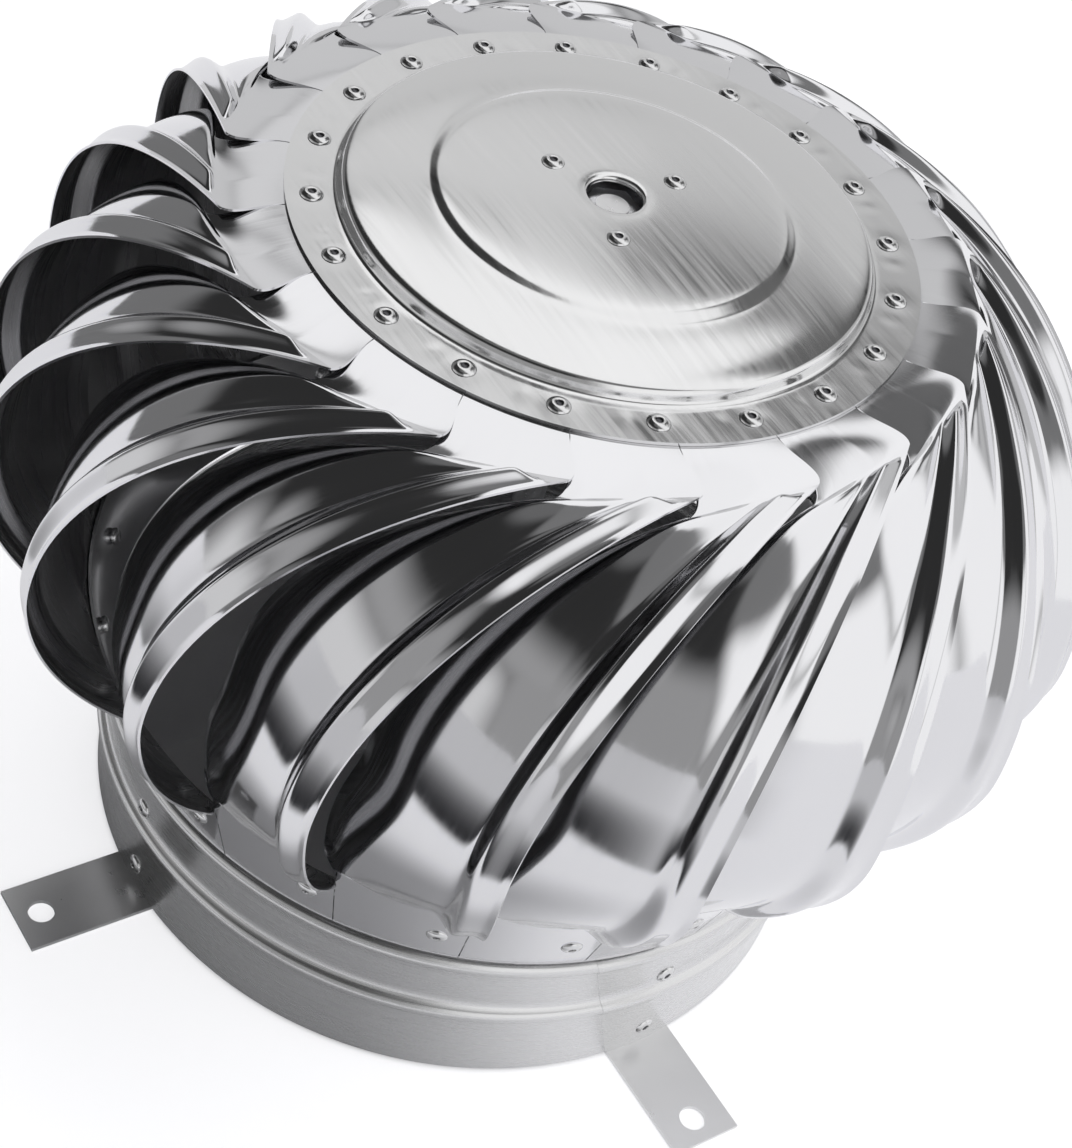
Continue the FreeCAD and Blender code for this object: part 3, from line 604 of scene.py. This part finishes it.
def rim_edges(bm):
    """Edges that run round the flange, outside the cap's rise."""
    found = []
    for edge in bm.edges:
        near, far = edge.verts
        inner, outer = sorted((near.co.xy.length, far.co.xy.length))
        level = abs(near.co.z - far.co.z) < 0.0001
        if level and inner > CAP_RISE_RADIUS + FLANGE_INSET and outer - inner < 0.001:
            found.append(edge)
    return found


def press_dimples(bm, seats, reach):
    """Shallow dishes that the rivets and their tool pressed into the sheet."""
    for vert in bm.verts:
        for seat in seats:
            share = (vert.co - seat).length / reach
            if share < 1:
                vert.co.z -= DIMPLE_DEPTH * (1 - share * share) ** 2


def make_cap():
    """Pressed cap with its flange, rise, step and crowned middle."""
    bm = spun(cap_outline(), CAP_STEPS)
    bmesh.ops.subdivide_edges(bm, edges=rim_edges(bm), cuts=1)
    press_dimples(bm, rim_seats(), DIMPLE_REACH)
    press_dimples(bm, rim_seats(MARK_LAG), MARK_REACH)
    cap = piece_from("polished_cap", bm, "rotor", CAP_SHEET)
    refine(cap)
    thicken(cap, CAP_WALL)
    settle(cap)
    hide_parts("top_cap")


# Neck collar

def collar_outline():
    """Outer side of the collar from its foot to its top, over both beads."""
    centre = COLLAR_RADIUS + BEAD_PROUD - BEAD_RADIUS
    upper = COLLAR_HEIGHT + LIFT - BEAD_RADIUS
    lower = LOWER_BEAD_HEIGHT + LIFT
    points = [(COLLAR_RADIUS, LIFT), (COLLAR_RADIUS, LIFT + 8), (COLLAR_RADIUS, lower - BEAD_CLEAR)]
    points += [(COLLAR_RADIUS, lower - BEAD_FOOT)] + arc(centre, lower, BEAD_RADIUS, -70, 70, 8)
    points += [(COLLAR_RADIUS, lower + BEAD_FOOT), (COLLAR_RADIUS, lower + BEAD_CLEAR)]
    points += [(COLLAR_RADIUS, upper - BEAD_CLEAR), (COLLAR_RADIUS, upper - BEAD_FOOT)]
    return points + arc(centre, upper, BEAD_RADIUS, -70, 80, 9)


def make_collar():
    """Rolled neck with its two beads."""
    bm = spun(collar_outline(), COLLAR_STEPS)
    collar = piece_from("brushed_collar", bm, "base", COLLAR_SHEET)
    thicken(collar, COLLAR_WALL)
    settle(collar)
    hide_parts("neck_collar")


def make_seam():
    """Lapped end of the collar sheet, which lies over the other end with a slanted edge."""
    outline = [(radius + SEAM_PROUD, height) for radius, height in collar_outline()]
    bm = spun(outline, SEAM_STEPS, math.degrees(SEAM_WIDTH / COLLAR_RADIUS))
    for vert in bm.verts:
        share = (vert.co.z - LIFT) / COLLAR_HEIGHT
        turn = SEAM_FOOT_ANGLE + (SEAM_TOP_ANGLE - SEAM_FOOT_ANGLE) * share
        vert.co = Matrix.Rotation(math.radians(turn), 3, "Z") @ vert.co
    seam = piece_from("collar_lap", bm, "base", COLLAR_SHEET)
    thicken(seam, SEAM_PROUD + SEAM_BITE)
    settle(seam)


# Rivets

def rivet_outline(grip):
    """Half section of a set blind rivet: hollow head, shank through the sheets and bulged tail."""
    tail = -grip - RIVET_TAIL
    return [
        (0.0, 0.25), (RIVET_BORE - 0.1, 0.25), (RIVET_BORE, RIVET_HEAD_HEIGHT - 0.15),
        (RIVET_BORE + 0.35, RIVET_HEAD_HEIGHT), (RIVET_HEAD_RADIUS - 1.0, 0.85),
        (RIVET_HEAD_RADIUS - 0.35, 0.5), (RIVET_HEAD_RADIUS, 0.12), (RIVET_HEAD_RADIUS, 0.0),
        (RIVET_SHANK_RADIUS, 0.0),
        (RIVET_SHANK_RADIUS, -grip), (RIVET_TAIL_RADIUS - 0.3, -grip), (RIVET_TAIL_RADIUS, -grip - 0.4),
        (RIVET_TAIL_RADIUS, tail + 0.6), (RIVET_TAIL_RADIUS - 0.7, tail), (0.0, tail)]


def rivet_row(name, body, node, grip, places):
    """All the rivets of one node, and the mandrel ends in their heads, painted near black as the shade of the
    bore.
    """
    rivets = bmesh.new()
    cores = bmesh.new()
    mandrel = [(RIVET_BORE - 0.12, 0.27), (RIVET_BORE - 0.15, 0.42), (0.4, 0.62), (0.0, 0.66)]
    for point, direction in places:
        turn = Vector((0, 0, 1)).rotation_difference(direction).to_matrix().to_4x4()
        move = Matrix.Translation(point) @ turn
        for target, outline in ((rivets, rivet_outline(grip)), (cores, mandrel)):
            one = spun(outline, RIVET_STEPS)
            bmesh.ops.transform(one, matrix=move, verts=one.verts)
            scratch = bpy.data.meshes.new("scratch")
            one.to_mesh(scratch)
            one.free()
            target.from_mesh(scratch)
            bpy.data.meshes.remove(scratch)
    row = piece_from(name, rivets, body, RIVET_STEEL)
    settle(row, 50)
    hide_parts(node)
    settle(piece_from(name + "_mandrels", cores, body, SHADED_MANDREL_STEEL), 50)


def make_rivets():
    """The four sets of blind rivets."""
    up = Vector((0, 0, 1))
    flange = [(seat, up) for seat in rim_seats()]
    rivet_row("cap_rim_rivets", "rotor", "flange_rivets", FLANGE_GRIP, flange)
    hub = [(polar(HUB_RIVET_CIRCLE, HUB_RIVET_ANGLE + turn, crown(HUB_RIVET_CIRCLE)), up)
           for turn in (0, 120, 240)]
    rivet_row("cap_hub_rivets", "rotor", "hub_rivets", HUB_GRIP, hub)
    tilt = math.atan(ring_slope())
    ring = []
    for index in range(BLADE_COUNT):
        angle = BLADE_ANGLE + RING_RIVET_LAG + PITCH * index
        outward = polar(math.cos(tilt), angle, -math.sin(tilt))
        seat = polar(tab_radius(RING_RIVET_HEIGHT), angle, RING_RIVET_HEIGHT + LIFT)
        ring.append((seat + outward * (BLADE_WALL / 2), outward))
    rivet_row("blade_foot_rivets", "rotor", "ring_rivets", RING_GRIP, ring)
    straps = [(polar(COLLAR_RADIUS, angle, height + LIFT), polar(1, angle, 0))
              for angle in FOOT_ANGLES for height in STRAP_RIVET_HEIGHTS]
    rivet_row("collar_rivets", "base", "strap_rivets", STRAP_GRIP, straps)


def finish_frame_nodes():
    """Gives every carried-over solid its own finish."""
    for row in frame["record"]["subparts"]:
        owner = frame["nodes"][row["node"]]
        owner.data.materials.clear()
        owner.data.materials.append(NODE_FINISHES.get(row["node"]) or SLOT_FINISHES[row["material_slot"]])


# Studio

CAMERA_PLACE = Vector((334.12, -312.01, 525.01)) * MM
CAMERA_RIGHT = Vector((0.521153, 0.827649, 0.208315))
CAMERA_UP = Vector((-0.677643, 0.252893, 0.690540))
CAMERA_BACK = Vector((0.518843, -0.501041, 0.692647))
CAMERA_LENS = 75.34
FRONT = Vector((0.7193, -0.6947, 0.0))
RIGHT = Vector((0.6947, 0.7193, 0.0))


def make_camera():
    """Camera at the photograph's place and angle."""
    data = bpy.data.cameras.new("camera")
    data.lens = CAMERA_LENS
    data.clip_start = 0.01
    data.clip_end = 100
    camera = bpy.data.objects.new("camera", data)
    turn = Matrix((CAMERA_RIGHT, CAMERA_UP, CAMERA_BACK)).transposed()
    camera.matrix_world = Matrix.Translation(CAMERA_PLACE) @ turn.to_4x4()
    bpy.context.scene.collection.objects.link(camera)
    bpy.context.scene.camera = camera


def math_node(nodes, links, operation, first, second=None):
    node = nodes.new("ShaderNodeMath")
    node.operation = operation
    for index, value in enumerate((first, second)):
        if value is None:
            continue
        if isinstance(value, (int, float)):
            node.inputs[index].default_value = value
        else:
            links.new(value, node.inputs[index])
    return node.outputs["Value"]


def ramp(nodes, links, value, low, high, bottom=0.0, top=1.0):
    """Smooth step from bottom to top as the value goes from low to high."""
    step = nodes.new("ShaderNodeMapRange")
    step.interpolation_type = "SMOOTHSTEP"
    step.inputs["From Min"].default_value = low
    step.inputs["From Max"].default_value = high
    step.inputs["To Min"].default_value = bottom
    step.inputs["To Max"].default_value = top
    links.new(value, step.inputs["Value"])
    return step.outputs["Result"]


def product(nodes, links, first, *others):
    """All the values multiplied together."""
    for other in others:
        first = math_node(nodes, links, "MULTIPLY", first, other)
    return first


# Floor. An edge is a distance from the axis in metres and a side the cosine of the angle to SHADE_AXIS,
# each given by the two ends of a smooth step. The camera sees no shade but the painted shade under the
# collar:
# the others are there for the metal that mirrors the floor, and stand for the dark things in front of the
# real one.
FLOOR_SIZE = 30.0
FLOOR_TINTS = ((0.88, 0.88, 0.90), (0.90, 0.90, 0.92))
FLOOR_SHADE_TINT = (0.04, 0.04, 0.045)
FLOOR_GLOW_TINT = (0.985, 0.985, 1.0)
FLOOR_GLOW = 0.70
MIRRORED_SHARE = 0.64
SHADE_AXIS = FRONT * 0.819 - RIGHT * 0.574
FRONT_SHADE_SIDE = (0.42, 0.92)
FRONT_SHADE_EDGE = (0.250, 0.275)
FAR_SHADE_EDGE = (0.26, 0.62)
FAR_SHADE = (1.0, 0.35)
FOOT_SHADE_SIDE = (0.3, 0.9)
FOOT_SHADE_EDGE = (0.13, 0.19)
# Inside this edge the floor's glow is cut off, for camera and mirrors alike: painted shade under the collar
COLLAR_SHADE_EDGE = (0.097, 0.101)


def make_floor():
    """Pale floor keeping the shadow; its glow is even for the camera, less for mirrors, and cut inside the
    collar as painted shade.
    """
    bm = bmesh.new()
    bmesh.ops.create_grid(bm, x_segments=4, y_segments=4, size=FLOOR_SIZE)
    mesh = bpy.data.meshes.new("floor")
    bm.to_mesh(mesh)
    bm.free()
    floor = bpy.data.objects.new("floor", mesh)
    bpy.context.scene.collection.objects.link(floor)
    material, nodes, links, paint = shader("floor_paint")
    paint.inputs["Roughness"].default_value = 0.95
    paint.inputs["Specular IOR Level"].default_value = 0.1
    place = nodes.new("ShaderNodeTexCoord").outputs["Object"]
    mottle = add(nodes, "ShaderNodeTexNoise", Scale=3.0, Detail=2.0)
    links.new(place, mottle.inputs["Vector"])
    tint = two_tone(nodes, links, mottle.outputs["Fac"], *FLOOR_TINTS)
    rays = nodes.new("ShaderNodeLightPath").outputs
    length = nodes.new("ShaderNodeVectorMath")
    length.operation = "LENGTH"
    links.new(place, length.inputs[0])
    distance = length.outputs["Value"]
    toward = nodes.new("ShaderNodeVectorMath")
    toward.operation = "DOT_PRODUCT"
    links.new(place, toward.inputs[0])
    toward.inputs[1].default_value = SHADE_AXIS
    side = math_node(nodes, links, "DIVIDE", toward.outputs["Value"], distance)
    shade = product(
        nodes, links, ramp(nodes, links, side, *FRONT_SHADE_SIDE),
        ramp(nodes, links, distance, *FRONT_SHADE_EDGE),
        ramp(nodes, links, distance, *FAR_SHADE_EDGE, *FAR_SHADE))
    left = math_node(nodes, links, "SUBTRACT", 1.0, shade)
    left = math_node(nodes, links, "MAXIMUM", left, rays["Is Camera Ray"])
    paint_colour = two_tone(nodes, links, left, FLOOR_SHADE_TINT, tint)
    links.new(paint_colour, paint.inputs["Base Color"])
    foot = product(
        nodes, links, ramp(nodes, links, distance, *FOOT_SHADE_EDGE, 1.0, 0.0),
        ramp(nodes, links, side, *FOOT_SHADE_SIDE))
    mirrored = product(
        nodes, links, math_node(nodes, links, "SUBTRACT", 1.0, foot), MIRRORED_SHARE, rays["Is Glossy Ray"])
    seen = math_node(nodes, links, "MAXIMUM", rays["Is Camera Ray"], mirrored)
    seen = math_node(nodes, links, "MAXIMUM", seen, rays["Is Transmission Ray"])
    # The glow is cut off inside the collar as painted shade
    glow = product(nodes, links, seen, left, ramp(nodes, links, distance, *COLLAR_SHADE_EDGE), FLOOR_GLOW)
    paint.inputs["Emission Color"].default_value = (*FLOOR_GLOW_TINT, 1)
    links.new(glow, paint.inputs["Emission Strength"])
    mesh.materials.append(material)


# Studio walls and lights as (azimuth low, high, elevation low, high, softness, strength), in degrees:
# azimuths go from the front towards the right, and an end at 180 or an elevation of 200 has no edge
CARDS = [
    (-180, -152, -28, 30, 4, 0.66),
    (-180, -148, 28, 39, 3, 0.76),
    (158, 180, -14, 36, 4, 0.66),
    (-180, -146, 39.5, 200, 1.5, 1.06),
    (164, 180, 40.5, 200, 1.5, 1.08),
    (100, 180, 51, 200, 3, 1.05),
    (60, 180, 70, 200, 6, 1.0),
    (14, 66, -25, 46, 7, 1.04),
    (66, 118, -25, 200, 7, 1.04),
    (112, 162, -25, 20, 6, 0.58),
    (112, 138, 18, 30, 5, 0.55),
    (112, 132, 30, 44, 5, 0.8),
    (132, 164, 28, 49, 4, 0.14),
    (-92, -36, -10, 20, 10, 0.70),
    (-80, -10, 18, 36, 8, 0.36),
    (-40, 16, -20, 34, 8, 0.34),
    (-150, -92, -2, 27, 6, 0.19),
    (-150, 20, 68, 200, 5, 0.15),
    (10, 72, 44, 200, 6, 0.20),
]
WORLD_BASE = 0.03


def make_studio():
    """Dome of soft walls: pale overhead, on the right and behind, dark between them."""
    world = bpy.data.worlds.new("studio")
    bpy.context.scene.world = world
    world.use_nodes = True
    nodes = world.node_tree.nodes
    links = world.node_tree.links
    ray = nodes.new("ShaderNodeTexCoord").outputs["Generated"]
    parts = []
    for direction in (FRONT, RIGHT, Vector((0, 0, 1))):
        dot = nodes.new("ShaderNodeVectorMath")
        dot.operation = "DOT_PRODUCT"
        links.new(ray, dot.inputs[0])
        dot.inputs[1].default_value = direction
        parts.append(dot.outputs["Value"])
    azimuth = math_node(nodes, links, "ARCTAN2", parts[1], parts[0])
    azimuth = math_node(nodes, links, "DEGREES", azimuth)
    elevation = math_node(nodes, links, "ARCSINE", parts[2])
    elevation = math_node(nodes, links, "DEGREES", elevation)
    total = WORLD_BASE
    for az_low, az_high, el_low, el_high, soft, strength in CARDS:
        card = strength
        for value, low, high, free in ((azimuth, az_low, az_high, 180), (elevation, el_low, el_high, 90)):
            if abs(low) < free:
                card = product(nodes, links, card, ramp(nodes, links, value, low - soft, low + soft))
            if abs(high) < free:
                fade = ramp(nodes, links, value, high - soft, high + soft, 1.0, 0.0)
                card = product(nodes, links, card, fade)
        total = math_node(nodes, links, "MAXIMUM", total, card)
    ground = nodes["Background"]
    ground.inputs["Color"].default_value = (1.0, 1.0, 1.0, 1)
    links.new(total, ground.inputs["Strength"])


make_camera()
make_floor()
make_studio()
make_blades()
make_cap()
make_collar()
make_seam()
make_rivets()
finish_frame_nodes()

bpy.context.scene.view_settings.view_transform = "Standard"
